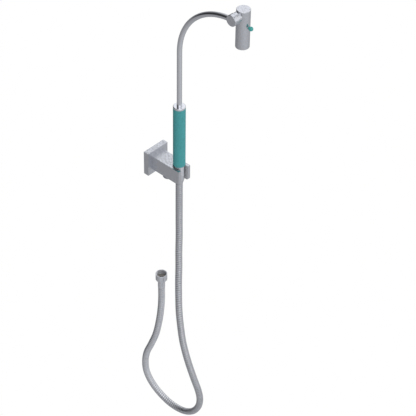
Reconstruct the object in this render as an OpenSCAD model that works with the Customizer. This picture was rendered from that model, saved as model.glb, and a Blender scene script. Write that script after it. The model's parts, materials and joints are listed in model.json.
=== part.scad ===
// Emergency hand-held safety shower: a wall outlet with a cradle, a handset on a
// swan-neck tube with a tilting spray head, and a metal supply hose.
// Millimetres, +Z up. The wall is the plane Y = 0 and the room is at -Y, so a
// distance from the wall, called n below, is at Y = -n. The origin is the centre
// of the cover plate on the wall.

/* [Wall bracket] */
// Side of the square cover plate
plate_side = 54; // [50:1:64]
// Depth of the cover plate
plate_depth = 12; // [10:1:16]
// Side of the square arm
arm_side = 32; // [31:1:36]
// Distance from the wall to the arm's front
arm_reach = 84; // [84:1:90]
// Distance from the wall to the handset's axis
cradle_n = 70; // [68:1:70]
// Distance from the wall to the outlet under the arm
outlet_n = 40; // [36:1:42]
// Bottom of the outlet's thread below the arm's middle
outlet_drop = 28; // [26:1:34]
// How far the inlet's thread goes into the wall
inlet_length = 12; // [10:1:14]

/* [Grip] */
// Height of the grip's lower edge
grip_bottom = 20; // [18:1:22]
// Height of the grip's upper edge
grip_top = 157; // [140:1:180]
// Diameter of the grip
grip_d = 24.5; // [23:0.5:28]
// Thickness of the cap on top of the grip
cap_thick = 4; // [3:0.5:6]

/* [Swan neck] */
// Outer diameter of the tube
neck_d = 10; // [9:0.5:10]
// Height at which the bend starts
bend_z = 284; // [250:1:300]
// Radius of the bend
bend_r = 130; // [120:1:140]

/* [Head] */
// Diameter of the spray head
head_d = 26; // [26:0.5:28]
// Height of the head's top above the tilt axis
head_above = 12.5; // [12:0.5:16]
// Depth of the head's lower rim below the tilt axis
head_below = 66.5; // [63:0.5:70]
// Sideways distance from the swan neck to the head's axis
head_x = 25; // [25:0.5:27]
// Diameter of the tilt joint's housing
swivel_d = 22; // [21:0.5:23]
// Diameter of the ball on the valve stem
ball_d = 8.4; // [8:0.2:10]

/* [Hose] */
// Outer diameter of the hose
hose_d = 14.4; // [13:0.2:14.6]
// Number of sides of the hose's plain tube
hose_sides = 10; // [8:1:12]
// Thickness of the steel strip
hose_wall = 0.9; // [0.8:0.1:1.2]

/* [Hidden] */
$fn = 72;

steel = "silver";
polished = "lightgray";
brass = "goldenrod";
teal = "lightseagreen";
rubber = "dimgray";
liner_grey = "gray";
fibre = "rosybrown";
plastic = "whitesmoke";

gap = 0.3;          // between faces of pieces that move past each other
fit = 0.05;         // radial clearance of a running fit
half_inch_r = 10.48; // crest radius of a G 1/2 external thread

// wall bracket
plate_wall = 2.5;
seal_width = 3;
arm_back = 2;
nipple_spigot_r = 8;
nipple_spigot = 11;
waterway_r = 5.5;
check_r = 7.1;      // check valve cartridge, inside the outlet nipple
check_top = -15;
check_length = 12.5;
check_seat = 2;
check_cage = 2;
poppet_h = 1.6;
cradle_r = 13;
slot_half = 9.5;
liner_ledge = 0;    // height of the step between the liner's thick and thin parts
liner_recess = 0.5;
liner_wall = 1.1;
liner_slot_half = 7.8;
screw_r = 2;

// hose end in the cradle, from the hose upwards
nut_bottom = -24;
nut_shoulder = -15;
nut_top = -3;
nut_r_top = 11;
nut_r_low = 10.6;
nut_r_end = 8;
ferrule_r = 7.5;
ferrule_end = -26;
flange_r = 8.2;
flange_z = -14;
flange_h = 2;
thread_r = 8.3;     // crest radius of the G 3/8 thread inside the cone nut
bore_r = 4.5;
lining_r = 5.6;     // rubber tube inside the steel strip

// handset
neck_r = neck_d / 2;
neck_bore_r = neck_r - 1.2;
grip_r = grip_d / 2;
connector_r = 10.2;
spigot_r = 7.9;
spigot_h = 14;
core_r = 9.35;
core_bore_r = 6.2;
washer_h = 2;
regulator_h = 7;
cap_spigot = 18;
olive_h = 5;
neck_end = grip_top - cap_spigot - olive_h - 4;

// tilt joint and head
tilt_n = cradle_n + bend_r - 2.5;
tilt_z = bend_z + bend_r;
swivel_r = swivel_d / 2;
swivel_x0 = -5;
swivel_x1 = 5.5;
collar_r = 10;
swivel_edge = 0.6;
spindle_r = 6 - fit;
spindle_x0 = -3.3;
spindle_x1 = 15.2;
track_x = 9;        // groove that the retaining screw's tip runs in
seal_x = 12.8;
head_n = cradle_n + bend_r;
head_r = head_d / 2;
head_top = tilt_z + head_above;
head_low = tilt_z - head_below;
rim_r = 1;
top_edge = 0.6;
seat_r = 10.5;      // bore at the spray plate
main_r = 10;        // bore around the valve block
upper_r = 9.5;      // bore at the inlet
block_z = tilt_z - 30;
block_h = 19;
strainer_h = 1.2;
ring_z = head_low + 0.8;
ring_h = 1.7;
spray_h = 3;
spray_seal_h = 1.5;
seat_top = ring_z + ring_h + spray_h + spray_seal_h;

// push-pull valve
stem_z = tilt_z - 20.8;
ball_n = head_n + 18.7;
ball_r = ball_d / 2;
stem_r = 2;
collar_n = ball_n - 3.9;
spool_r = 3.25;
valve_bore_r = spool_r + fit;
waterway_v_r = 2.2;
gland_r = 3.5;       // clears the spool at full pull

// free end of the hose
end_x = -27;
end_n = 46;
end_top = -267;     // mouth of the supply nut
end_nut_h = 19;
end_nut_r = 12.1;
end_bevel = 4.5;
end_thread_depth = 10.5;
end_washer_h = 2;
end_flange_h = 1.7;
end_flange_r = 9.88;
end_tube_z = -303;  // where the ferrule ends and the hose starts

// Middle line of the hose, from the cone nut down through the hanging loop and
// up to the supply nut.
hose_route = [
    [0, -70, -26], [0, -70, -60], [0, -70, -94], [-2, -72, -128], [-5.5, -75.5, -162],
    [-11, -80, -195], [-17, -86, -228], [-24, -92, -260], [-31, -99, -292], [-39, -108, -324],
    [-45, -118, -356], [-50, -129, -388], [-52, -141, -420], [-51, -152, -452], [-48, -162, -484],
    [-42, -168, -517], [-36, -167, -550], [-32, -158, -582], [-30, -140, -611], [-29, -113, -631],
    [-30, -80, -636], [-33, -50, -625], [-38, -27, -601], [-43, -15, -569], [-46, -14, -536],
    [-47, -20, -502], [-44, -31, -470], [-39, -40, -438], [-34, -44, -405], [-30, -46, -371],
    [-27, -46, -337], [end_x, -end_n, end_tube_z]
];

// ---------- shared shapes ----------

module tube(r_out, r_in, h) {
    difference() {
        cylinder(r = r_out, h = h);
        translate([0, 0, -1]) cylinder(r = r_in, h = h + 2);
    }
}

// A round bar along X at the tilt axis
module bar_x(x0, x1, r) {
    translate([x0, -tilt_n, tilt_z]) rotate([0, 90, 0]) cylinder(r = r, h = x1 - x0);
}

// A round bar away from the wall, from distance n0 to n1, at height z
module bar_n(n0, n1, r, x = 0, z = 0) {
    translate([x, -n0, z]) rotate([90, 0, 0]) cylinder(r = r, h = n1 - n0);
}

module o_ring(middle_r, section_r) {
    rotate_extrude() translate([middle_r, 0]) circle(r = section_r, $fn = 24);
}

module at_cradle(z) { translate([0, -cradle_n, z]) children(); }
module at_head(z) { translate([head_x, -head_n, z]) children(); }
module at_end(z) { translate([end_x, -end_n, z]) children(); }

// ---------- wall bracket ----------

module cover_plate() {
    color(steel) difference() {
        translate([-plate_side / 2, -plate_depth, -plate_side / 2])
            cube([plate_side, plate_depth, plate_side]);
        translate([-plate_side / 2 + plate_wall, -plate_depth + plate_wall, -plate_side / 2 + plate_wall])
            cube([plate_side - 2 * plate_wall, plate_depth, plate_side - 2 * plate_wall]);
        translate([-arm_side / 2 - fit, -plate_depth - 1, -arm_side / 2 - fit])
            cube([arm_side + 2 * fit, plate_depth, arm_side + 2 * fit]);
        translate([0, -plate_depth / 2, -plate_side / 2 - 1]) cylinder(r = screw_r, h = plate_wall + 2);
    }
}

module plate_seal() {
    side = plate_side - 2 * plate_wall;
    color(rubber) rotate([90, 0, 0]) linear_extrude(seal_width) difference() {
        square(side, center = true);
        square(side - 2 * seal_width, center = true);
    }
}

module cradle_outline(r, half) {
    circle(r = r);
    translate([-half, -(arm_reach - cradle_n) - 1]) square([2 * half, arm_reach - cradle_n + 1]);
}

module bracket_arm() {
    color(steel) difference() {
        translate([-arm_side / 2, -arm_reach, -arm_side / 2])
            cube([arm_side, arm_reach - arm_back, arm_side]);
        at_cradle(-arm_side / 2 - 1) cylinder(r = cradle_r, h = arm_side + 2);
        translate([-slot_half, -arm_reach - 1, -arm_side / 2 - 1])
            cube([2 * slot_half, arm_reach - cradle_n + 1, arm_side + 2]);
        bar_n(arm_back - 1, arm_back + nipple_spigot, nipple_spigot_r);
        bar_n(arm_back, outlet_n + waterway_r, waterway_r);
        translate([0, -outlet_n, -arm_side / 2 - 1]) cylinder(r = waterway_r, h = arm_side / 2 + 1);
        translate([0, -outlet_n, -arm_side / 2 - 1]) cylinder(r = nipple_spigot_r, h = 10);
    }
}

// A thick lower half that the cone nut sits in, and a thin wall above it
module cradle_liner() {
    seat_h = liner_ledge + arm_side / 2;
    full_h = arm_side - liner_recess;
    color(liner_grey) at_cradle(-arm_side / 2) difference() {
        linear_extrude(full_h) intersection() {
            cradle_outline(cradle_r - fit, slot_half - fit);
            translate([-arm_side, -(arm_reach - cradle_n) + liner_recess]) square(2 * arm_side);
        }
        translate([0, 0, -0.01]) cylinder(r1 = nut_r_low + gap, r2 = nut_r_top + gap, h = seat_h + 0.02);
        translate([-liner_slot_half, -arm_reach, -1])
            cube([2 * liner_slot_half, arm_reach, arm_side + 2]);
        translate([0, 0, seat_h]) cylinder(r = cradle_r - liner_wall, h = arm_side);
        translate([liner_wall - slot_half, -arm_reach, seat_h])
            cube([2 * (slot_half - liner_wall), arm_reach, arm_side]);
    }
}

module wall_nipple() {
    color(brass) difference() {
        union() {
            bar_n(-inlet_length, 0, half_inch_r);
            bar_n(-1, arm_back + nipple_spigot, nipple_spigot_r - fit);
        }
        bar_n(-inlet_length - 1, arm_back + nipple_spigot + 1, waterway_r);
    }
}

module outlet_nipple() {
    spigot = 8.5;
    below_arm = outlet_drop - arm_side / 2;
    color(steel) translate([0, -outlet_n, 0]) difference() {
        union() {
            translate([0, 0, -outlet_drop]) cylinder(r = half_inch_r, h = below_arm);
            translate([0, 0, -outlet_drop]) cylinder(r = nipple_spigot_r - fit, h = below_arm + spigot);
        }
        translate([0, 0, -outlet_drop - 1]) cylinder(r = waterway_r, h = arm_side);
        translate([0, 0, -outlet_drop - 1]) cylinder(r = check_r + fit, h = check_top + outlet_drop + 1.5);
    }
}

module plate_screw() {
    key_r = 1;
    color(polished) translate([0, -plate_depth / 2, -plate_side / 2]) difference() {
        cylinder(r = screw_r - fit, h = (plate_side - arm_side) / 2);
        translate([0, 0, -1]) cylinder(r = key_r, h = 3, $fn = 6);
    }
}

// ---------- check valve in the outlet ----------

module at_outlet(z) { translate([0, -outlet_n, z]) children(); }

module check_valve_body() {
    bottom = check_top - check_length;
    color(plastic) at_outlet(bottom) difference() {
        cylinder(r = check_r, h = check_length);
        translate([0, 0, check_cage]) cylinder(r = 5.4, h = check_length - check_cage - check_seat);
        translate([0, 0, check_cage]) cylinder(r = 3.4, h = check_length);
        translate([0, 0, -1]) cylinder(r = 1.3, h = check_cage + 2);
        for (turn = [0:60:300]) rotate([0, 0, turn])
            translate([3.4, 0, -1]) cylinder(r = 1.1, h = check_cage + 2);
    }
}

module check_valve_poppet() {
    top = check_top - check_seat - 0.1;
    stem = check_length - check_seat - check_cage + 1;
    color(plastic) at_outlet(top) {
        translate([0, 0, -poppet_h]) cylinder(r = 4.4, h = poppet_h);
        translate([0, 0, -stem]) cylinder(r = 1.1, h = stem - 0.5);
    }
}

module check_valve_spring() {
    coils = 4;
    wire_r = 0.3;
    coil_r = 2.6;
    low = check_top - check_length + check_cage + wire_r + 0.05;
    high = check_top - check_seat - 0.1 - poppet_h - wire_r - 0.05;
    steps = 12 * coils;
    rise = (high - low) / steps;
    helix = [for (i = [0:steps]) [coil_r * cos(30 * i), coil_r * sin(30 * i), low + rise * i]];
    color(polished) at_outlet(0) sweep(helix, wire_r, 8);
}

// ---------- hose ----------

function unit(v) = v / norm(v);
function side_of(t) = unit(cross(t, abs(t.x) > 0.9 ? [0, 1, 0] : [1, 0, 0]));
function heading(route, i) = unit(route[min(i + 1, len(route) - 1)] - route[max(i - 1, 0)]);
function route_ring(route, i, r, sides) =
    let (t = heading(route, i), u = side_of(t), v = cross(t, u))
    [for (k = [0:sides - 1]) route[i] + r * (cos(360 * k / sides) * u + sin(360 * k / sides) * v)];

module sweep(route, r, sides) {
    last = len(route) - 1;
    points = [for (i = [0:last]) for (p = route_ring(route, i, r, sides)) p];
    walls = [for (i = [0:last - 1]) for (k = [0:sides - 1])
        let (a = i * sides + k, b = i * sides + (k + 1) % sides, c = a + sides, d = b + sides)
            each [[a, c, b], [b, c, d]]];
    ends = [[for (k = [0:sides - 1]) k], [for (k = [sides - 1:-1:0]) last * sides + k]];
    polyhedron(points = points, faces = concat(walls, ends), convexity = 6);
}

// A hollow sweep, with the end faces square to the route
module sweep_tube(route, r_out, r_in, sides) {
    last = len(route) - 1;
    n = len(route) * sides;     // the inner wall's points follow the outer wall's
    points = [for (r = [r_out, r_in]) for (i = [0:last]) for (p = route_ring(route, i, r, sides)) p];
    walls = [for (i = [0:last - 1]) for (k = [0:sides - 1])
        let (a = i * sides + k, b = i * sides + (k + 1) % sides, c = a + sides, d = b + sides)
            each [[a, c, b], [b, c, d], [n + a, n + b, n + c], [n + b, n + d, n + c]]];
    ends = [for (k = [0:sides - 1]) let (j = (k + 1) % sides, e = last * sides)
        each [[k, j, n + j, n + k], [e + j, e + k, n + e + k, n + e + j]]];
    polyhedron(points = points, faces = concat(walls, ends), convexity = 8);
}

module hose_tube() {
    color(polished) sweep_tube(hose_route, hose_d / 2, hose_d / 2 - hose_wall, hose_sides);
}

module hose_lining() {
    color(rubber) sweep_tube(hose_route, lining_r, bore_r, hose_sides);
}

module upper_ferrule() {
    color(steel) at_cradle(0) difference() {
        union() {
            translate([0, 0, ferrule_end]) cylinder(r = ferrule_r, h = flange_z - ferrule_end + 1);
            translate([0, 0, flange_z]) cylinder(r = flange_r, h = flange_h);
        }
        translate([0, 0, ferrule_end - 1]) cylinder(r = bore_r, h = 20);
    }
}

module upper_washer() {
    color(fibre) at_cradle(flange_z + flange_h) tube(flange_r, bore_r, 1);
}

module lower_ferrule() {
    flange = end_top - end_thread_depth - end_washer_h;
    color(steel) difference() {
        union() {
            at_end(end_tube_z) cylinder(r = ferrule_r, h = flange - end_tube_z - 0.5);
            at_end(flange - end_flange_h) cylinder(r = end_flange_r, h = end_flange_h);
        }
        at_end(end_tube_z - 1) cylinder(r = bore_r, h = 40);
    }
}

module lower_washer() {
    color(fibre) at_end(end_top - end_thread_depth - end_washer_h)
        tube(end_flange_r, bore_r, end_washer_h);
}

module supply_nut() {
    bottom = end_top - end_nut_h;
    shoulder = end_top - end_thread_depth - end_washer_h - end_flange_h;
    flats = 11.9;
    color(steel) difference() {
        intersection() {
            at_end(bottom) union() {
                translate([0, 0, end_bevel]) cylinder(r = end_nut_r, h = end_nut_h - end_bevel);
                cylinder(r1 = ferrule_r + 1.2, r2 = end_nut_r, h = end_bevel);
            }
            at_end(bottom - 1) rotate([0, 0, 15]) cylinder(r = flats / cos(30), h = end_nut_h + 2, $fn = 6);
        }
        at_end(end_top - end_thread_depth) cylinder(r = half_inch_r, h = end_nut_h);
        at_end(shoulder - gap) cylinder(r = half_inch_r - 0.3, h = end_nut_h);
        at_end(bottom - 1) cylinder(r = ferrule_r + fit, h = end_nut_h);
    }
}

// ---------- handset ----------

module cone_nut() {
    color(steel) at_cradle(0) difference() {
        union() {
            translate([0, 0, nut_shoulder])
                cylinder(r1 = nut_r_low, r2 = nut_r_top, h = nut_top - nut_shoulder);
            translate([0, 0, nut_bottom])
                cylinder(r1 = nut_r_end, r2 = nut_r_low, h = nut_shoulder - nut_bottom);
        }
        translate([0, 0, nut_bottom - 1]) cylinder(r = ferrule_r + fit, h = 20);
        translate([0, 0, flange_z - gap]) cylinder(r = thread_r + fit, h = 20);
    }
}

module handset_connector() {
    seat = flange_z + flange_h + 1;
    color(steel) at_cradle(0) difference() {
        union() {
            translate([0, 0, nut_top]) cylinder(r = connector_r, h = grip_bottom - nut_top);
            translate([0, 0, seat]) cylinder(r = thread_r, h = nut_top - seat + 1);
            translate([0, 0, grip_bottom - 1]) cylinder(r = spigot_r, h = spigot_h + 1);
        }
        translate([0, 0, seat - 1]) cylinder(r = bore_r, h = 60);
        translate([0, 0, grip_bottom + spigot_h - regulator_h - 2]) cylinder(r = core_bore_r, h = 20);
    }
}

module core_washer() {
    color(rubber) at_cradle(grip_bottom) tube(core_r, spigot_r + fit, washer_h);
}

module flow_regulator() {
    jets = 6;
    color(plastic) at_cradle(grip_bottom + spigot_h - regulator_h - 2) difference() {
        cylinder(r = core_bore_r - fit, h = regulator_h);
        translate([0, 0, regulator_h - 3]) cylinder(r = core_bore_r - 1.2, h = 4);
        for (turn = [0:360 / jets:359]) rotate([0, 0, turn])
            translate([3, 0, -1]) cylinder(r = 0.8, h = 10);
    }
}

module grip_core() {
    bottom = grip_bottom + washer_h;
    color(brass) at_cradle(bottom) difference() {
        cylinder(r = core_r, h = grip_top - bottom);
        translate([0, 0, -1]) cylinder(r = core_bore_r, h = grip_top);
        translate([0, 0, -1]) cylinder(r = spigot_r + fit, h = spigot_h + 1);
        translate([0, 0, grip_top - bottom - cap_spigot]) cylinder(r = 7.55, h = 30);
    }
}

module grip_sleeve() {
    color(teal) at_cradle(grip_bottom) tube(grip_r, core_r + fit, grip_top - grip_bottom);
}

module grip_cap() {
    edge = 0.8;
    color(polished) at_cradle(grip_top) difference() {
        union() {
            cylinder(r = grip_r - 0.05, h = cap_thick - edge);
            translate([0, 0, cap_thick - edge])
                cylinder(r1 = grip_r - 0.05, r2 = grip_r - 0.05 - edge, h = edge);
            translate([0, 0, -cap_spigot]) cylinder(r = 7.5, h = cap_spigot + 1);
        }
        translate([0, 0, -cap_spigot - 1]) cylinder(r = neck_r + fit, h = 40);
        translate([0, 0, -cap_spigot + 4]) cylinder(r = neck_r + 1.4, h = 2.2);
    }
}

module cap_seal() {
    color(rubber) at_cradle(grip_top - cap_spigot + 5.1) o_ring(neck_r + 0.7, 0.65);
}

module tube_olive() {
    color(brass) at_cradle(grip_top - cap_spigot - olive_h) tube(core_bore_r - fit, neck_r + fit, olive_h - 0.1);
}

module swan_neck_bar(r) {
    at_cradle(neck_end) cylinder(r = r, h = bend_z - neck_end + 0.01);
    translate([0, -cradle_n - bend_r, bend_z]) rotate([90, 0, 90])
        rotate_extrude(angle = 90, $fn = 96) translate([bend_r, 0]) circle(r = r, $fn = 48);
}

module swan_neck() {
    color(polished) difference() {
        swan_neck_bar(neck_r);
        bar_x(-20, 20, swivel_r);
        at_cradle(neck_end - 1) cylinder(r = neck_bore_r, h = 2);
        swan_neck_bar(neck_bore_r);
    }
}

module swivel_housing() {
    color(steel) difference() {
        union() {
            bar_x(swivel_x0 + swivel_edge, swivel_x1, swivel_r);
            translate([swivel_x0, -tilt_n, tilt_z]) rotate([0, 90, 0])
                cylinder(r1 = swivel_r - swivel_edge, r2 = swivel_r, h = swivel_edge);
        }
        bar_x(spindle_x0, swivel_x1 + 1, spindle_r + fit);
        bar_n(tilt_n - swivel_r - 1, tilt_n - 4, 2.4, 0, tilt_z);
    }
}

module swivel_spindle() {
    color(brass) difference() {
        bar_x(spindle_x0, spindle_x1, spindle_r);
        for (groove = [[track_x, 1.4], [seal_x, 1.6]]) difference() {
            bar_x(groove[0] - groove[1] / 2, groove[0] + groove[1] / 2, spindle_r + 1);
            bar_x(groove[0] - 1, groove[0] + 1, 4.9);
        }
        bar_x(-2, spindle_x1 + 1, 2.8);
        bar_n(tilt_n - 7, tilt_n, 1.6, 0, tilt_z);
    }
}

module spindle_seal() {
    color(rubber) translate([seal_x, -tilt_n, tilt_z]) rotate([0, 90, 0]) o_ring(5.43, 0.5);
}

// ---------- head ----------

module swivel_screw() {
    color(polished) translate([track_x, -tilt_n, tilt_z]) difference() {
        union() {
            translate([0, 0, 0.4 - collar_r]) cylinder(r = 1.45, h = collar_r - 6.6);
            translate([0, 0, -7]) cylinder(r = 0.6, h = 1.9);
        }
        translate([0, 0, -collar_r]) cylinder(r = 0.7, h = 2, $fn = 6);
    }
}

module head_barrel() {
    color(steel) difference() {
        union() {
            at_head(head_low + rim_r) cylinder(r = head_r, h = head_top - head_low - rim_r - top_edge);
            at_head(head_top - top_edge) cylinder(r1 = head_r, r2 = head_r - top_edge, h = top_edge);
            at_head(head_low) cylinder(r = head_r - rim_r, h = rim_r + 1);
            at_head(head_low + rim_r) o_ring(head_r - rim_r, rim_r);
            bar_x(swivel_x1 + gap, head_x, collar_r);
        }
        at_head(head_low - 1) cylinder(r = seat_r, h = seat_top - head_low + 1);
        at_head(head_low) cylinder(r = main_r, h = block_z + block_h - head_low);
        at_head(head_low) cylinder(r = upper_r, h = head_top - head_low - 5.5);
        bar_x(swivel_x1, head_x, spindle_r + fit);
        translate([track_x, -tilt_n, tilt_z - collar_r - 1]) cylinder(r = 1.5, h = collar_r - 4);
        bar_n(head_n, head_n + head_r + 1, gland_r, head_x, stem_z);
    }
}

module valve_block() {
    color(brass) difference() {
        at_head(block_z) cylinder(r = main_r - 0.1, h = block_h);
        at_head(block_z - 1) cylinder(r = waterway_v_r, h = block_h + 2);
        bar_n(head_n - main_r - 1, head_n + main_r + 1, valve_bore_r, head_x, stem_z);
        at_head(block_z + block_h - 3.2) difference() {
            cylinder(r = main_r + 1, h = 1.8);
            translate([0, 0, -1]) cylinder(r = main_r - 1.7, h = 4);
        }
    }
}

module block_seal() {
    color(rubber) at_head(block_z + block_h - 2.3) o_ring(main_r - 0.86, 0.8);
}

module stem_gland() {
    color(steel) difference() {
        bar_n(head_n + 10.4, head_n + head_r - 0.6, gland_r - fit, head_x, stem_z);
        bar_n(head_n + 10, head_n + head_r + 2, stem_r + fit, head_x, stem_z);
    }
}

module strainer() {
    pitch = 2.2;
    rows = 3;
    color(polished) at_head(block_z - strainer_h) linear_extrude(strainer_h) difference() {
        circle(r = main_r - 0.1);
        for (i = [-rows:rows]) for (j = [-rows:rows])
            if (norm([i, j]) < rows + 0.7) translate([i, j] * pitch) circle(r = 0.7, $fn = 16);
    }
}

module spacer_sleeve() {
    color(plastic) at_head(seat_top) tube(main_r - 0.1, main_r - 1.4, block_z - strainer_h - seat_top);
}

module spray_seal() {
    color(rubber) at_head(seat_top - spray_seal_h) tube(seat_r - 0.1, main_r - 1.4, spray_seal_h);
}

module spray_plate() {
    color(polished) at_head(ring_z + ring_h) difference() {
        cylinder(r = seat_r - 0.1, h = spray_h);
        translate([0, 0, 1.4]) cylinder(r = seat_r - 2, h = spray_h);
        for (ring = [[0, 1], [3.2, 6], [6.2, 12]]) for (k = [0:ring[1] - 1])
            rotate([0, 0, 360 * k / ring[1]]) translate([ring[0], 0, -1]) cylinder(r = 0.7, h = 4);
    }
}

module spray_ring() {
    color(steel) at_head(ring_z) tube(seat_r - fit, seat_r - 1.4, ring_h);
}

// ---------- push-pull valve ----------

module valve_spool() {
    color(polished) difference() {
        union() {
            bar_n(head_n - 9.2, head_n - 8, spool_r, head_x, stem_z);
            bar_n(head_n - 8.5, head_n - 3.5, 1.6, head_x, stem_z);
            bar_n(head_n - 4, head_n + 4.5, spool_r, head_x, stem_z);
            bar_n(head_n + 4, ball_n - 1, stem_r, head_x, stem_z);
        }
        for (groove_n = [-3.1, 3.3]) difference() {
            bar_n(head_n + groove_n - 0.5, head_n + groove_n + 0.5, spool_r + 1, head_x, stem_z);
            bar_n(head_n + groove_n - 1, head_n + groove_n + 1, spool_r - 0.8, head_x, stem_z);
        }
    }
}

module spool_seals() {
    color(rubber) for (groove_n = [-3.1, 3.3])
        translate([head_x, -head_n - groove_n, stem_z]) rotate([90, 0, 0]) o_ring(spool_r - 0.4, 0.38);
}

module ball_knob() {
    color(teal) difference() {
        union() {
            translate([head_x, -ball_n, stem_z]) sphere(r = ball_r);
            bar_n(collar_n - 0.7, ball_n, 2.9, head_x, stem_z);
        }
        bar_n(collar_n - 2, ball_n - 1 + fit, stem_r + fit, head_x, stem_z);
    }
}

// ---------- assembly ----------

cover_plate();
plate_seal();
bracket_arm();
cradle_liner();
wall_nipple();
outlet_nipple();
plate_screw();
check_valve_body();
check_valve_poppet();
check_valve_spring();
hose_tube();
hose_lining();
upper_ferrule();
upper_washer();
lower_ferrule();
lower_washer();
supply_nut();
cone_nut();
handset_connector();
core_washer();
flow_regulator();
grip_core();
grip_sleeve();
grip_cap();
cap_seal();
tube_olive();
swan_neck();
swivel_housing();
swivel_spindle();
spindle_seal();
swivel_screw();
head_barrel();
valve_block();
block_seal();
stem_gland();
strainer();
spacer_sleeve();
spray_seal();
spray_plate();
spray_ring();
valve_spool();
spool_seals();
ball_knob();
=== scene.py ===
"""Looks of the hand-held safety shower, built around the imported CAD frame.

Metres, +Z up, the wall is the plane Y = 0 and the room is at -Y.
"""

import json
import math

import bmesh
import bpy
from mathutils import Matrix, Vector


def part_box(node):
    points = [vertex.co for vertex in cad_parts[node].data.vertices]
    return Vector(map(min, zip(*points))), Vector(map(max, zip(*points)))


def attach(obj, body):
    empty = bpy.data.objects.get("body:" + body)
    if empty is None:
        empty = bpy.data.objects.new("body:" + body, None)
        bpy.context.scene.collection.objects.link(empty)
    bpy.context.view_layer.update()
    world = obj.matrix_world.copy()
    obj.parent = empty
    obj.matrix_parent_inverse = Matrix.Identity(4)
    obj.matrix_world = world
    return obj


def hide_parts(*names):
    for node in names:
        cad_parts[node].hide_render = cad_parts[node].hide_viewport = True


MM = 0.001

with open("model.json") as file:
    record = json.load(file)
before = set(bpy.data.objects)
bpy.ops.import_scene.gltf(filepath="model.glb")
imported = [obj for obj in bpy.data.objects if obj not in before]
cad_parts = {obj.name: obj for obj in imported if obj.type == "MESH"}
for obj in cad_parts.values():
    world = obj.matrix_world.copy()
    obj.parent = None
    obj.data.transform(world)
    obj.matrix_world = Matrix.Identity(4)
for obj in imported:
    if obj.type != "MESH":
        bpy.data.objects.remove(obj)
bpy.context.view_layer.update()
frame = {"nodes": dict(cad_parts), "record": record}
nodes = frame["nodes"]


# ---------- camera ----------

VIEW_AZIMUTH = math.radians(-47.542)
VIEW_ELEVATION = math.radians(40.703)
VIEW_ROLL = math.radians(1.037)
CAMERA_AT = Vector((-1.7250, -1.7259, 1.9655))
LENS_MM = 137.69
SENSOR_MM = 36


def make_camera():
    a, e = VIEW_AZIMUTH, VIEW_ELEVATION
    back = Vector((math.sin(a) * math.cos(e), -math.cos(a) * math.cos(e), math.sin(e)))
    right = Vector((math.cos(a), math.sin(a), 0))
    turn = Matrix.Rotation(VIEW_ROLL, 3, back)
    right = turn @ right
    up = back.cross(right)
    axes = Matrix((right, up, back)).transposed().to_4x4()
    data = bpy.data.cameras.new("camera")
    data.sensor_width = SENSOR_MM
    data.lens = LENS_MM
    data.clip_end = 50      # metres, past the backdrop
    camera = bpy.data.objects.new("camera", data)
    camera.matrix_world = Matrix.Translation(CAMERA_AT) @ axes
    bpy.context.collection.objects.link(camera)
    bpy.context.scene.camera = camera


make_camera()


# ---------- mesh helpers ----------

SHARP = math.radians(38)        # an edge whose faces turn by more than this is shaded sharp


def link_mesh(name, mesh):
    obj = bpy.data.objects.new(name, mesh)
    bpy.context.collection.objects.link(obj)
    return obj


def new_object(name, verts, faces, sharp=SHARP):
    mesh = bpy.data.meshes.new(name)
    mesh.from_pydata([tuple(v) for v in verts], [], faces)
    obj = link_mesh(name, mesh)
    face_outwards(obj)
    shade(obj, sharp)
    return obj


def face_outwards(obj):
    bm = bmesh.new()
    bm.from_mesh(obj.data)
    bmesh.ops.recalc_face_normals(bm, faces=bm.faces)
    bm.to_mesh(obj.data)
    bm.free()


def shade(obj, sharp=SHARP):
    """Smooth shading, except at edges whose faces turn by more than sharp."""
    obj.data.shade_smooth()
    obj.data.set_sharp_from_angle(angle=sharp)


def paint(obj, material):
    obj.data.materials.clear()
    obj.data.materials.append(material)


def join(name, parts):
    """One object from several."""
    bm = bmesh.new()
    for part in parts:
        bm.from_mesh(part.data)
    mesh = bpy.data.meshes.new(name)
    bm.to_mesh(mesh)
    bm.free()
    for part in parts:
        bpy.data.objects.remove(part)
    obj = link_mesh(name, mesh)
    shade(obj)
    return obj


def modify(obj, kind, **settings):
    """Adds a modifier and applies it."""
    modifier = obj.modifiers.new(kind.lower(), kind)
    for key, value in settings.items():
        setattr(modifier, key, value)
    depsgraph = bpy.context.evaluated_depsgraph_get()
    mesh = bpy.data.meshes.new_from_object(obj.evaluated_get(depsgraph))
    obj.modifiers.clear()
    obj.data = mesh


CORNER_STEPS = 5
LATHE_SIDES = 96


def rounded(outline):
    """An outline of (a, b, radius) corners as points, with each corner turned into an arc."""
    points = []
    for i, (a, b, radius) in enumerate(outline):
        corner = Vector((a, b))
        if radius == 0:
            points.append(corner)
            continue
        back = (Vector(outline[i - 1][:2]) - corner).normalized()
        ahead = (Vector(outline[(i + 1) % len(outline)][:2]) - corner).normalized()
        half = back.angle(ahead) / 2
        centre = corner + (back + ahead).normalized() * radius / math.sin(half)
        first = corner + back * radius / math.tan(half) - centre
        last = corner + ahead * radius / math.tan(half) - centre
        turn = math.atan2(first.x * last.y - first.y * last.x, first.dot(last))
        for step in range(CORNER_STEPS + 1):
            points.append(centre + Matrix.Rotation(turn * step / CORNER_STEPS, 2) @ first)
    return points


# two directions across each axis, and the direction along it
AXES = {
    "Z": (Vector((1, 0, 0)), Vector((0, 1, 0)), Vector((0, 0, 1))),
    "-Y": (Vector((1, 0, 0)), Vector((0, 0, 1)), Vector((0, -1, 0))),
}


def spoke(axis, step, sides):
    """The direction out from the axis after some of the steps of a turn."""
    first, second = AXES[axis][:2]
    angle = 2 * math.pi * step / sides
    return first * math.cos(angle) + second * math.sin(angle)


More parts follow.
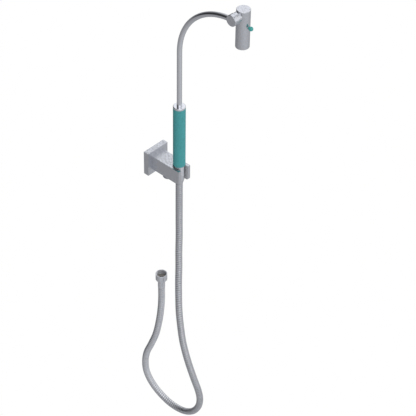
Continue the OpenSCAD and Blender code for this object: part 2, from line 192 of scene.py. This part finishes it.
def lathe(name, outline, at, axis="Z"):
    """Turns a closed outline of (radius, height, corner radius) in mm about an axis through at."""
    up = AXES[axis][2]
    sides = LATHE_SIDES
    points = rounded(outline)
    verts = [Vector(at) + (spoke(axis, k, sides) * p.x + up * p.y) * MM
             for p in points for k in range(sides)]
    faces = []
    for i in range(len(points)):
        j = (i + 1) % len(points)
        for k in range(sides):
            m = (k + 1) % sides
            faces.append((i * sides + k, i * sides + m, j * sides + m, j * sides + k))
    return new_object(name, verts, faces)


WELD = 2e-6                         # CAD vertices nearer than this are one, in metres
FLAT = math.radians(0.5)            # CAD triangles that turn by less than this are one face
BEVEL_FROM = math.radians(35)       # edges that turn by more than this are rounded
BEVEL_SEGMENTS = 3
FACE_WEIGHT = 100                   # large faces alone set the shading of what is beside them


def softened(node, name, width):
    """The CAD node's shape with its sharp edges rounded by a width in mm."""
    mesh = nodes[node].data.copy()
    mesh.name = name
    obj = link_mesh(name, mesh)
    bm = bmesh.new()
    bm.from_mesh(mesh)
    bmesh.ops.remove_doubles(bm, verts=bm.verts, dist=WELD)
    bmesh.ops.dissolve_limit(bm, angle_limit=FLAT, verts=bm.verts, edges=bm.edges)
    bm.to_mesh(mesh)
    bm.free()
    modify(obj, "BEVEL", width=width * MM, segments=BEVEL_SEGMENTS, limit_method="ANGLE",
           angle_limit=BEVEL_FROM)
    face_outwards(obj)
    shade(obj)
    modify(obj, "WEIGHTED_NORMAL", keep_sharp=True, weight=FACE_WEIGHT)
    return obj


THREAD_SIDES = 48                   # steps in one turn of a thread
THREAD_SINK = 0.15                  # how far a thread's ridge is sunk into the metal, in mm
ROOT_HALF, CREST_HALF = 0.46, 0.06  # half the ridge's width at root and crest, in pitches
RISE_PER_TURN = 3                   # depths that the ridge rises in a turn, at each end
RISE_FROM = 0.02                    # share of the depth that it starts with


def helix_ridge(name, at, axis, radius, depth, pitch, turns):
    """A screw thread's ridge, in mm, swept along a helix with its ends run out.

    A depth below 0 makes an inside thread."""
    up = AXES[axis][2]
    steps = int(turns * THREAD_SIDES)
    root = -math.copysign(THREAD_SINK, depth)
    verts, faces = [], []
    for i in range(steps + 1):
        ring = spoke(axis, i, THREAD_SIDES)
        crest = depth * min(1, RISE_PER_TURN * min(i, steps - i) / THREAD_SIDES + RISE_FROM)
        height = pitch * i / THREAD_SIDES
        for offset, reach in ((-ROOT_HALF, root), (-CREST_HALF, crest),
                              (CREST_HALF, crest), (ROOT_HALF, root)):
            out = ring * (radius + reach)
            verts.append(Vector(at) + (out + up * (height + offset * pitch)) * MM)
    for i in range(steps):
        for k in range(4):
            m = (k + 1) % 4
            faces.append((4 * i + k, 4 * i + m, 4 * i + 4 + m, 4 * i + 4 + k))
    faces += [(0, 1, 2, 3), tuple(4 * steps + k for k in (3, 2, 1, 0))]
    return new_object(name, verts, faces)


# ---------- hose ----------

HOSE_D = 0.0144
HOSE_PITCH = 0.0050                 # from one turn of the wound strip to the next
HOSE_SIDES = 30
BAND_POINTS = 12                    # points along the hose in one turn
BAND_DEPTH = 0.0010                 # how far the strip's edges are below its crown
BAND_POWER = 4                      # a higher power makes the band flatter in its middle
BAND_SHARP = math.radians(60)
GROOVE_SHADE_POINTS = 1                   # points on each side of an edge that get painted shade for the groove between turns
HOSE_EXIT = (0, -0.070, -0.026)
HOSE_ROUTE = [
    HOSE_EXIT, (0, -0.070, -0.060), (0, -0.070, -0.094), (-0.002, -0.072, -0.128),
    (-0.0055, -0.0755, -0.162), (-0.011, -0.080, -0.195), (-0.017, -0.086, -0.228),
    (-0.024, -0.092, -0.260), (-0.031, -0.099, -0.292), (-0.039, -0.108, -0.324),
    (-0.045, -0.118, -0.356), (-0.050, -0.129, -0.388), (-0.052, -0.141, -0.420),
    (-0.051, -0.152, -0.452), (-0.048, -0.162, -0.484), (-0.042, -0.168, -0.517),
    (-0.036, -0.167, -0.550), (-0.032, -0.158, -0.582), (-0.030, -0.140, -0.611),
    (-0.029, -0.113, -0.631), (-0.030, -0.080, -0.636), (-0.033, -0.050, -0.625),
    (-0.038, -0.027, -0.601), (-0.043, -0.015, -0.569), (-0.046, -0.014, -0.536),
    (-0.047, -0.020, -0.502), (-0.044, -0.031, -0.470), (-0.039, -0.040, -0.438),
    (-0.034, -0.044, -0.405), (-0.030, -0.046, -0.371), (-0.027, -0.046, -0.337),
    (-0.027, -0.046, -0.303),
]
INTO_FERRULE = 0.005
KNOT_SPACING = 0.034                # about the distance between the route's points
CURVE_STEPS = 24                    # steps between two of the route's points


def smooth_line(route, spacing):
    """Evenly spaced points of a Catmull-Rom curve through the route and on into both ferrules."""
    route = [Vector(p) for p in route]
    first, last = (route[0] - route[1]).normalized(), (route[-1] - route[-2]).normalized()
    knots = [route[0] + first * KNOT_SPACING, *route, route[-1] + last * KNOT_SPACING]
    dense = [route[0] + first * INTO_FERRULE]
    for a, b, c, d in zip(knots, knots[1:], knots[2:], knots[3:]):
        for step in range(CURVE_STEPS):
            t = step / CURVE_STEPS
            dense.append(0.5 * (2 * b + (c - a) * t + (2 * a - 5 * b + 4 * c - d) * t**2
                                + (3 * b - a - 3 * c + d) * t**3))
    dense += [route[-1], route[-1] + last * INTO_FERRULE]
    lengths = [0]
    for a, b in zip(dense, dense[1:]):
        lengths.append(lengths[-1] + (b - a).length)
    count = round(lengths[-1] / spacing)
    line, i = [], 0
    for step in range(count + 1):
        s = lengths[-1] * step / count
        while i < len(dense) - 2 and lengths[i + 1] < s:
            i += 1
        t = (s - lengths[i]) / (lengths[i + 1] - lengths[i])
        line.append(dense[i].lerp(dense[i + 1], t))
    return line


def carried_frames(line):
    """A pair of directions across the line at each point, carried along it without twist."""
    frames, across = [], Vector((1, 0, 0))
    for i in range(len(line)):
        along = (line[min(i + 1, len(line) - 1)] - line[max(i - 1, 0)]).normalized()
        across = (across - along * across.dot(along)).normalized()
        frames.append((across.copy(), along.cross(across)))
    return frames


def wound_tube(name, line):
    """A tube of wound strip along the line: each turn of its helix is one rounded band.

    Material 0 is the strip, 1 painted shade in the groove between two turns and 2 the closed ends."""
    frames = carried_frames(line)
    per_turn, sides = BAND_POINTS, HOSE_SIDES
    last = len(line) - 1
    count = last - per_turn

    def vertex(i, k):
        s = i + per_turn * k / sides
        j = min(int(s), last - 1)
        t = s - j
        centre = line[j].lerp(line[j + 1], t)
        u = frames[j][0].lerp(frames[j + 1][0], t)
        v = frames[j][1].lerp(frames[j + 1][1], t)
        band = 2 * ((i % per_turn) + 0.5) / per_turn - 1
        r = HOSE_D / 2 - BAND_DEPTH * abs(band) ** BAND_POWER
        angle = 2 * math.pi * k / sides
        return centre + (u * math.cos(angle) + v * math.sin(angle)) * r

    verts = [vertex(i, k) for i in range(count + 1) for k in range(sides)]

    def at(i, k):
        return (i + per_turn) * sides if k == sides else i * sides + k

    faces, materials = [], []
    for i in range(count):
        for k in range(sides):
            if k < sides - 1 or i + 1 + per_turn <= count:
                faces.append((at(i, k), at(i, k + 1), at(i + 1, k + 1), at(i + 1, k)))
                # the faces at each turn's edges get painted shade for the groove
                materials.append(1 if (i + GROOVE_SHADE_POINTS) % per_turn < 2 * GROOVE_SHADE_POINTS else 0)
    faces.append([at(0, k) for k in range(sides)] + [at(i, 0) for i in range(per_turn, 0, -1)])
    faces.append([at(count, k) for k in range(sides)]
                 + [at(i, sides - 1) for i in range(count - 1, count - per_turn - 1, -1)])
    obj = new_object(name, verts, faces, BAND_SHARP)
    obj.data.polygons.foreach_set("material_index", materials + [2, 2])
    return obj


hose_line = smooth_line(HOSE_ROUTE, HOSE_PITCH / BAND_POINTS)
hose = wound_tube("hose", hose_line)
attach(hose, "hose")
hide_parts("hose_tube", "hose_lining")


# ---------- materials ----------


class Nodes:
    """Short ways to add shader nodes to one material or world."""

    def __init__(self, tree):
        self.tree = tree
        tree.nodes.clear()

    def add(self, kind, **settings):
        node = self.tree.nodes.new(kind)
        for key, value in settings.items():
            setattr(node, key, value)
        return node

    def link(self, source, target):
        self.tree.links.new(source, target)

    def noise(self, vector, scale, detail):
        node = self.add("ShaderNodeTexNoise")
        node.inputs["Scale"].default_value = scale
        node.inputs["Detail"].default_value = detail
        self.link(vector, node.inputs["Vector"])
        return node.outputs["Fac"]

    def ramp(self, noise, low, high):
        """A colour between low and high, which follows the noise over most of its range."""
        node = self.add("ShaderNodeValToRGB")
        for element, place, colour in zip(node.color_ramp.elements, NOISE_RANGE, (low, high)):
            element.position = place
            element.color = (*colour, 1)
        self.link(noise, node.inputs["Fac"])
        return node.outputs["Color"]

    def bump(self, height, strength, distance, normal=None):
        node = self.add("ShaderNodeBump")
        node.inputs["Strength"].default_value = strength
        node.inputs["Distance"].default_value = distance
        self.link(height, node.inputs["Height"])
        if normal:
            self.link(normal, node.inputs["Normal"])
        return node.outputs["Normal"]


NOISE_RANGE = (0.3, 0.7)
WAVE_HEIGHT, GRAIN_HEIGHT = 0.001, 0.0002       # metres, for a strength of 1


def scaled(colour, factor):
    return [min(1, c * factor) for c in colour]


def surface(name, colour, metallic, roughness, vary=0.06, spread=0.06, wave=0.0, wave_scale=300,
            grain=0.0, grain_scale=2500):
    """A surface whose colour, roughness and relief vary with noise in the part's own space.

    vary is the colour's spread, spread the roughness's, wave the relief at wave_scale per metre and
    grain the fine relief at grain_scale per metre."""
    material = bpy.data.materials.new(name)
    material.use_nodes = True
    n = Nodes(material.node_tree)
    place = n.add("ShaderNodeTexCoord").outputs["Object"]
    shader = n.add("ShaderNodeBsdfPrincipled")
    shader.inputs["Metallic"].default_value = metallic
    broad = n.noise(place, wave_scale, detail=3)
    fine = n.noise(place, grain_scale, detail=2)
    n.link(n.ramp(broad, scaled(colour, 1 - vary), scaled(colour, 1 + vary)),
           shader.inputs["Base Color"])
    n.link(n.ramp(fine, [roughness - spread] * 3, [roughness + spread] * 3),
           shader.inputs["Roughness"])
    normal = None
    if wave:
        normal = n.bump(broad, wave, WAVE_HEIGHT)
    if grain:
        normal = n.bump(fine, grain, GRAIN_HEIGHT, normal)
    if normal:
        n.link(normal, shader.inputs["Normal"])
    out = n.add("ShaderNodeOutputMaterial")
    n.link(shader.outputs["BSDF"], out.inputs["Surface"])
    return material


# colour, metallic and roughness, then the variation
SATIN = surface("satin_steel", (0.62, 0.63, 0.66), 1.0, 0.24,
                wave=0.60, wave_scale=240, grain=0.05)
TURNED = surface("turned_steel", (0.70, 0.71, 0.74), 1.0, 0.26,
                 wave=0.06, wave_scale=500, grain=0.05)
POLISHED = surface("polished_steel", (0.70, 0.71, 0.74), 1.0, 0.12,
                   vary=0.03, spread=0.04, wave=0.02, wave_scale=260)
# rough blasted finish for the handset connector; its lighter colour is painted light where it sits
# in the cradle's shade
BLASTED_AND_LIT_STEEL = surface("blasted_steel_painted_light", (0.78, 0.79, 0.82), 1.0, 0.50, grain=0.2)
# rougher metal for the bore; its darker colour is painted shade in the recess
UNPOLISHED_AND_SHADED_INSIDE = surface("unpolished_and_shaded_inside", (0.55, 0.555, 0.57), 1.0, 0.45, grain=0.1)
HOSE = surface("hose_steel", (0.73, 0.74, 0.77), 1.0, 0.20, vary=0.08, grain=0.05)
# painted shade: a dark colour for the groove between the hose's turns, where shade falls
GROOVE_SHADE = surface("hose_groove_painted_shade", (0.10, 0.103, 0.11), 1.0, 0.40, grain=0.05)
BRASS = surface("brass", (0.70, 0.52, 0.24), 1.0, 0.28, grain=0.1)
RUBBER = surface("rubber", (0.02, 0.02, 0.022), 0.0, 0.62, grain=0.3)
LINER = surface("liner", (0.42, 0.425, 0.44), 0.0, 0.42, grain=0.1)
FIBRE = surface("fibre", (0.46, 0.43, 0.40), 0.0, 0.7, vary=0.15, grain=0.4)
PLASTIC = surface("white_plastic", (0.78, 0.78, 0.76), 0.0, 0.4, grain=0.1)
TEAL_GRIP = surface("teal_grip", (0.062, 0.364, 0.372), 0.0, 0.55,
                    vary=0.24, spread=0.08, wave_scale=640, grain=0.45, grain_scale=1900)
TEAL_BALL = surface("teal_ball", (0.06, 0.40, 0.37), 0.0, 0.3, grain=0.05)

MATERIALS = {
    "satin_steel": SATIN, "polished_steel": POLISHED, "hose": HOSE, "brass": BRASS,
    "rubber": RUBBER, "liner": LINER, "fibre": FIBRE, "white_plastic": PLASTIC,
    "teal_grip": TEAL_GRIP, "teal_ball": TEAL_BALL,
}
SLOT_OF = {s["node"]: s["material_slot"] for s in frame["record"]["subparts"]}
TURNED_NODES = {"upper_ferrule", "lower_ferrule", "supply_nut", "stem_gland", "spray_ring"}


def material_of(node):
    # the connector's lighter steel is painted light in the cradle's shade
    if node == "handset_connector":
        return BLASTED_AND_LIT_STEEL
    return TURNED if node in TURNED_NODES else MATERIALS[SLOT_OF[node]]


for node, obj in nodes.items():
    for slot in obj.material_slots:
        slot.material = material_of(node)
for material in (HOSE, GROOVE_SHADE, RUBBER):
    hose.data.materials.append(material)


# ---------- pieces with rounded edges and threads ----------

BODIES = frame["record"]["behaviour"]["bodies"]
BODY_OF = {node: body for body, members in BODIES.items() for node in members}


def stand_for(piece, node):
    """Gives a piece the node's material, slot and body, and hides the node."""
    paint(piece, material_of(node))
    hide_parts(node)
    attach(piece, BODY_OF[node])


# how far the edges of each CAD node are rounded, in mm
EDGE_MM = {
    "cover_plate": 0.6, "bracket_arm": 0.45, "cradle_liner": 0.12, "handset_connector": 0.3,
    "cone_nut": 0.6, "upper_ferrule": 0.3, "lower_ferrule": 0.3, "grip_sleeve": 0.5,
    "grip_cap": 0.3, "swivel_housing": 0.25, "head_barrel": 0.25, "stem_gland": 0.15,
    "spray_plate": 0.12, "spray_ring": 0.15,
}
for node, width in EDGE_MM.items():
    stand_for(softened(node, node + "_finished", width), node)

# G 1/2 thread: crest radius, depth and pitch, in mm
CREST, THREAD_DEPTH, THREAD_PITCH = 10.46, 1.14, 1.814
ROOT = CREST - THREAD_DEPTH
THREAD_MARGIN = 0.5                 # pitches left free at each end of a thread
# radii of the nipples' spigots, their waterways and the check valve's bore, in mm
SPIGOT_R, WATERWAY_R, VALVE_R = 7.95, 5.5, 7.15
RIM_R, LEAD_IN_R = 0.3, 0.5         # corner radii at a nipple's rims and its thread's end, in mm
VALVE_GAP = 0.5                     # between the check valve and the step above it, in mm
NUT_EDGE = 0.45                     # how far the supply nut's edges are rounded, in mm


def middle_of(low, high):
    return (low[0] + high[0]) / 2, (low[1] + high[1]) / 2


def outside_thread(name, at, axis, low, high):
    turns = (high - low) / THREAD_PITCH - 2 * THREAD_MARGIN
    start = Vector(at) + AXES[axis][2] * (low + THREAD_MARGIN * THREAD_PITCH) * MM
    return helix_ridge(name, start, axis, ROOT, THREAD_DEPTH, THREAD_PITCH, turns)


def outlet_nipple():
    """The threaded outlet under the arm; heights are from the arm's middle."""
    low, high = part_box("outlet_nipple")
    at = (*middle_of(low, high), 0)
    bottom, top, arm = low[2] / MM, high[2] / MM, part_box("bracket_arm")[0][2] / MM
    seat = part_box("check_valve_body")[1][2] / MM + VALVE_GAP
    body = lathe("nipple_body", [
        (VALVE_R, bottom, RIM_R), (ROOT, bottom, LEAD_IN_R), (ROOT, arm, 0), (SPIGOT_R, arm, 0),
        (SPIGOT_R, top, RIM_R), (WATERWAY_R, top, 0), (WATERWAY_R, seat, 0), (VALVE_R, seat, 0),
    ], at)
    thread = outside_thread("nipple_thread", at, "Z", bottom, arm)
    return join("outlet_nipple_finished", [body, thread])


def wall_nipple():
    """The threaded inlet in the wall; heights are from the wall towards the room."""
    low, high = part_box("wall_nipple")
    deep, front = -high[1] / MM, -low[1] / MM
    body = lathe("inlet_body", [
        (WATERWAY_R, deep, RIM_R), (ROOT, deep, LEAD_IN_R), (ROOT, 0, 0), (SPIGOT_R, 0, 0),
        (SPIGOT_R, front, RIM_R), (WATERWAY_R, front, 0),
    ], (0, 0, 0), "-Y")
    thread = outside_thread("inlet_thread", (0, 0, 0), "-Y", deep, 0)
    return join("wall_nipple_finished", [body, thread])


def supply_nut():
    """The free end's union nut with its inside thread."""
    low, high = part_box("supply_nut")
    washer_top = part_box("lower_washer")[1][2]
    body = softened("supply_nut", "supply_nut_body", NUT_EDGE)
    turns = (high[2] - washer_top) / MM / THREAD_PITCH - 2 * THREAD_MARGIN
    start = (*middle_of(low, high), washer_top + THREAD_MARGIN * THREAD_PITCH * MM)
    thread = helix_ridge("nut_thread", start, "Z", CREST, -THREAD_DEPTH, THREAD_PITCH, turns)
    return join("supply_nut_finished", [body, thread])


INWARD = -0.2       # a face whose normal's part outwards is below this looks inwards


def finish_and_shade_bore(obj, material):
    """Gives the material to the faces that look towards the upright axis of the piece: the bore's
    rougher finish, with a darker colour as painted shade.
    """
    obj.data.materials.append(material)
    middle = sum((Vector(corner) for corner in obj.bound_box), Vector()) / 8
    for face in obj.data.polygons:
        outward = (face.center - middle).to_2d().normalized()
        if face.normal.to_2d().dot(outward) < INWARD:
            face.material_index = 1


stand_for(outlet_nipple(), "outlet_nipple")
stand_for(wall_nipple(), "wall_nipple")
nut = supply_nut()
stand_for(nut, "supply_nut")
# the bore gets rougher metal with painted shade
finish_and_shade_bore(nut, UNPOLISHED_AND_SHADED_INSIDE)


# ---------- light and stage ----------

RIGHT, FRONT = (1, -1, 0), (-1, -1, 0)      # as the camera sees them
LEFT_LEVEL, RIGHT_LEVEL, FRONT_EXTRA = 0.26, 0.46, 0.22
# the dark patch scales what is there, and the panel and the wall add to it
DARK_AIM, DARK_LEVEL = (-0.42, 0.85, 0.30), 0.13
DARK_RADIUS, DARK_CORE = math.radians(40), math.radians(20)
PANEL_AIM, PANEL_LEVEL = (-0.15, -0.85, 0.45), 0.45
PANEL_RADIUS, PANEL_CORE = math.radians(30), math.radians(12)
# the bright wall's three edges: a direction, where it starts along it and where it is full
WALL_SIDE = ((1, 0, 0), 0.42, 0.60)
WALL_BACK = ((0, 1, 0), -0.25, 0.2)
WALL_FOOT = ((0, 0, 1), 0.0, 0.4)
WALL_LEVEL = 0.85
TINT = (0.985, 1.0, 1.04)

LIGHT_SIZE = 3.2
LIGHT_AIM = Vector((0, -0.1, 0))
LIGHTS = {"key": ((-1.6, -2.2, 2.6), 30), "fill": ((2.4, -1.8, 1.0), 16)}       # place and watts

FLOOR_Z, FLOOR_SIZE, BACKDROP_R = -0.72, 40, 19


def make_world():
    """Soft studio surroundings: darker to the left, one bright wall behind and to the right,
    one dark patch over the wall, and a bright panel in front."""
    world = bpy.data.worlds.new("studio")
    bpy.context.scene.world = world
    world.use_nodes = True
    n = Nodes(world.node_tree)
    direction = n.add("ShaderNodeTexCoord").outputs["Generated"]

    def toward(aim, low, high, from_value=0.0, to_value=1.0):
        """Rises smoothly from one value to another as the direction's part along aim rises."""
        dot = n.add("ShaderNodeVectorMath", operation="DOT_PRODUCT")
        n.link(direction, dot.inputs[0])
        dot.inputs[1].default_value = Vector(aim).normalized()
        step = n.add("ShaderNodeMapRange", interpolation_type="SMOOTHSTEP")
        settings = {"From Min": low, "From Max": high, "To Min": from_value, "To Max": to_value}
        for name, value in settings.items():
            step.inputs[name].default_value = value
        n.link(dot.outputs["Value"], step.inputs["Value"])
        return step.outputs["Result"]

    def around(aim, radius, core, from_value=0.0, to_value=1.0):
        """One value past an angle from aim, and another inside a smaller angle."""
        return toward(aim, math.cos(radius), math.cos(core), from_value, to_value)

    def combine(operation, a, b):
        node = n.add("ShaderNodeMath", operation=operation)
        for socket, value in zip(node.inputs, (a, b)):
            if isinstance(value, (int, float)):
                socket.default_value = value
            else:
                n.link(value, socket)
        return node.outputs["Value"]

    level = combine("ADD", toward(RIGHT, -1, 1, LEFT_LEVEL, RIGHT_LEVEL),
                    toward(FRONT, -1, 1, 0, FRONT_EXTRA))
    level = combine("MULTIPLY", level, around(DARK_AIM, DARK_RADIUS, DARK_CORE, 1, DARK_LEVEL))
    wall = combine("MULTIPLY", toward(*WALL_SIDE), toward(*WALL_BACK))
    wall = combine("MULTIPLY", wall, toward(*WALL_FOOT))
    panel = around(PANEL_AIM, PANEL_RADIUS, PANEL_CORE)
    level = combine("ADD", level, combine("MULTIPLY", wall, WALL_LEVEL))
    level = combine("ADD", level, combine("MULTIPLY", panel, PANEL_LEVEL))
    tint = n.add("ShaderNodeVectorMath", operation="SCALE")
    tint.inputs[0].default_value = TINT
    n.link(level, tint.inputs["Scale"])
    background = n.add("ShaderNodeBackground")
    n.link(tint.outputs["Vector"], background.inputs["Color"])
    out = n.add("ShaderNodeOutputWorld")
    n.link(background.outputs[0], out.inputs["Surface"])


def area_light(name, at, power):
    data = bpy.data.lights.new(name, "AREA")
    data.size = LIGHT_SIZE
    data.energy = power
    light = bpy.data.objects.new(name, data)
    light.location = at
    light.rotation_euler = (LIGHT_AIM - Vector(at)).to_track_quat("-Z", "Y").to_euler()
    bpy.context.collection.objects.link(light)


def pale_glow():
    """Even white that needs no light."""
    material = bpy.data.materials.new("pale_stage")
    material.use_nodes = True
    n = Nodes(material.node_tree)
    glow = n.add("ShaderNodeEmission")
    glow.inputs["Color"].default_value = (1, 1, 1, 1)
    out = n.add("ShaderNodeOutputMaterial")
    n.link(glow.outputs[0], out.inputs["Surface"])
    return material


def make_stage():
    """A pale floor, and a pale dome around it, that are seen but cast no light or reflection."""
    white = pale_glow()
    bpy.ops.mesh.primitive_plane_add(size=FLOOR_SIZE, location=(0, 0, FLOOR_Z))
    floor = bpy.context.object
    floor.name = "floor"
    bpy.ops.mesh.primitive_uv_sphere_add(segments=48, ring_count=24, radius=BACKDROP_R)
    dome = bpy.context.object
    dome.name = "backdrop"
    for obj in (floor, dome):
        paint(obj, white)
        obj.visible_diffuse = False
        obj.visible_glossy = False
        obj.visible_shadow = False
        obj.visible_transmission = False


make_world()
make_stage()
for light_name, (light_at, watts) in LIGHTS.items():
    area_light(light_name, light_at, watts)
bpy.context.scene.view_settings.view_transform = "Standard"
